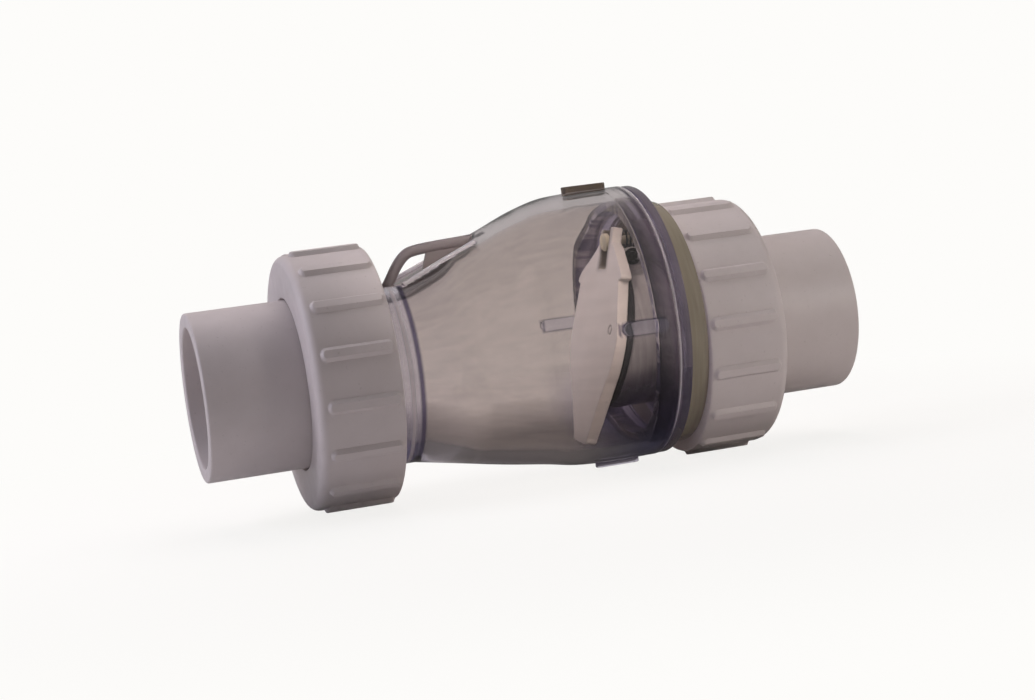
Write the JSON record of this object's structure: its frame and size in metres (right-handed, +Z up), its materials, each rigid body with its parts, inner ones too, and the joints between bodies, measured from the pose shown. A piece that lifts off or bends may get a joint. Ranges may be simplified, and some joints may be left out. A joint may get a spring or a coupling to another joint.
{
  "type": "backwater valve",
  "caption": "In-line swing check valve: clear plastic bell body, sprung hinged flap on a slanted seat, and a white union nut and slip tail piece at each end.",
  "frame": {"origin": "on the ground under the middle of the valve, where the union nuts' ribs rest", "axes": "+X along the pipe line towards the inlet, +Z up through the hinge side of the bell"},
  "size_m": [0.293, 0.1264, 0.127],
  "materials": {
    "clear_pvc": "polished",
    "smoky_pvc": "polished",
    "white_pvc": "satin",
    "black_rubber": "matte",
    "stainless_steel": "satin",
    "natural_nylon": "satin"
  },
  "bodies": {
    "valve_body": {"body_shell": "clear_pvc", "end_cap": "clear_pvc", "seat_tube": "smoky_pvc", "hinge_pin": "stainless_steel", "pin_clip_near": "stainless_steel", "pin_clip_far": "stainless_steel", "guide_bolt": "natural_nylon", "closing_spring": "stainless_steel", "outlet_o_ring": "black_rubber", "inlet_o_ring": "black_rubber"},
    "flap": {"flapper": "white_pvc", "flapper_gasket": "black_rubber", "gasket_retainer": "white_pvc", "retainer_screw_1": "stainless_steel", "retainer_screw_2": "stainless_steel", "retainer_screw_3": "stainless_steel"},
    "outlet_tail_body": {"outlet_tail": "white_pvc"},
    "outlet_nut_body": {"outlet_nut": "white_pvc"},
    "inlet_tail_body": {"inlet_tail": "white_pvc"},
    "inlet_nut_body": {"inlet_nut": "white_pvc"}
  },
  "joints": [
    {"name": "flap_hinge", "type": "hinge", "parent": "valve_body", "child": "flap", "pos_m": [0.0516, 0, 0.09246], "axis": [0, 1, 0], "range_deg": [0, 42], "stiffness_Nm_per_rad": 0.015, "springref_deg": -20.05, "deforming": ["closing_spring"]},
    {"name": "outlet_tail_slide", "type": "slide", "parent": "valve_body", "child": "outlet_tail_body", "axis": [-1, 0, 0], "range_m": [0, 0.0128]},
    {"name": "outlet_nut_turn", "type": "hinge", "parent": "outlet_tail_body", "child": "outlet_nut_body", "pos_m": [-0.06765, 0, 0.05726], "axis": [-1, 0, 0], "range_deg": [0, 1080]},
    {"name": "inlet_tail_slide", "type": "slide", "parent": "valve_body", "child": "inlet_tail_body", "axis": [1, 0, 0], "range_m": [0, 0.0128]},
    {"name": "inlet_nut_turn", "type": "hinge", "parent": "inlet_tail_body", "child": "inlet_nut_body", "pos_m": [0.06765, 0, 0.05726], "axis": [1, 0, 0], "range_deg": [0, 1080]}
  ],
  "couplings": [
    {"joint": "outlet_tail_slide", "follows": "outlet_nut_turn", "m_per_rad": 0.00067376},
    {"joint": "inlet_tail_slide", "follows": "inlet_nut_turn", "m_per_rad": 0.00067376}
  ]
}
